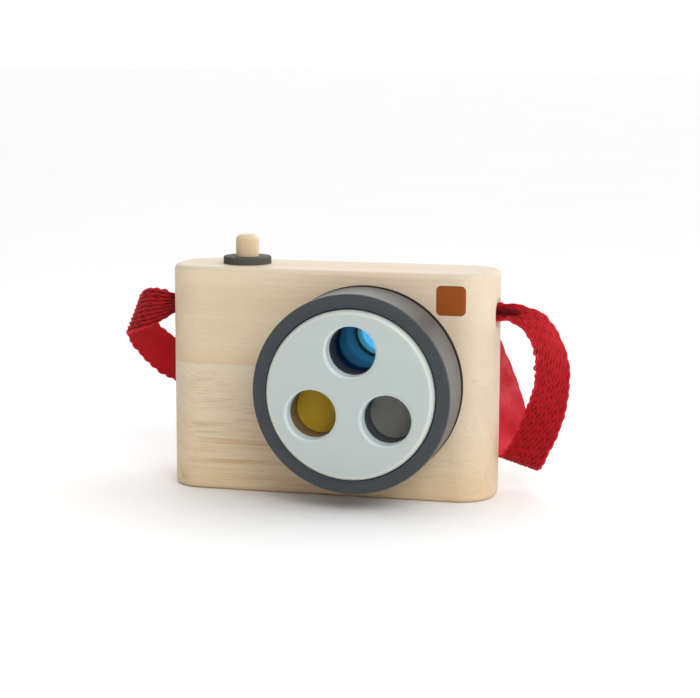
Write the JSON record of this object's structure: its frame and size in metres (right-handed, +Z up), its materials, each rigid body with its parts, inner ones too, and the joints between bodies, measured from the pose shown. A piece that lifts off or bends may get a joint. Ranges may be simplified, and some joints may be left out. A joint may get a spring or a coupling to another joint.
{
  "type": "toy camera",
  "caption": "Wooden toy camera with a turning colour-filter lens, a sprung shutter button on a collar, a viewing tunnel through the body and a webbing strap.",
  "frame": {"origin": "centre of the wood body's base, on the surface that it stands on", "axes": "+Z up, the lens faces -Y, +X to the right as seen from the front"},
  "size_m": [0.1689, 0.0758, 0.0927],
  "materials": {
    "bare_wood": "sanded, thin matt lacquer",
    "dark_grey_paint": "satin paint on wood",
    "pale_grey_paint": "satin paint on wood",
    "blue_acrylic": "clear tinted, polished",
    "yellow_acrylic": "clear tinted, polished",
    "grey_acrylic": "clear tinted, polished",
    "steel": "plain",
    "fibre": "pressed black fibre",
    "red_webbing": "ribbed cotton webbing"
  },
  "bodies": {
    "camera": {"body": "bare_wood", "button_collar": "dark_grey_paint", "lens_axle": "steel", "axle_washer": "steel", "spacer_ring": "fibre", "button_spring": "steel", "strap": "red_webbing", "strap_peg_left": "bare_wood", "strap_peg_right": "bare_wood"},
    "lens": {"lens_barrel": "dark_grey_paint", "lens_face": "pale_grey_paint", "filter_blue": "blue_acrylic", "filter_yellow": "yellow_acrylic", "filter_grey": "grey_acrylic"},
    "button": {"shutter_button": "bare_wood"}
  },
  "joints": [
    {"name": "lens_turn", "type": "hinge", "parent": "camera", "child": "lens", "pos_m": [0.0148, -0.016, 0.0418], "axis": [0, -1, 0], "continuous": true},
    {"name": "button_press", "type": "slide", "parent": "camera", "child": "button", "axis": [0, 0, -1], "range_m": [0, 0.004], "stiffness_N_per_m": 400, "springref_m": -0.003, "deforming": ["button_spring"]}
  ]
}
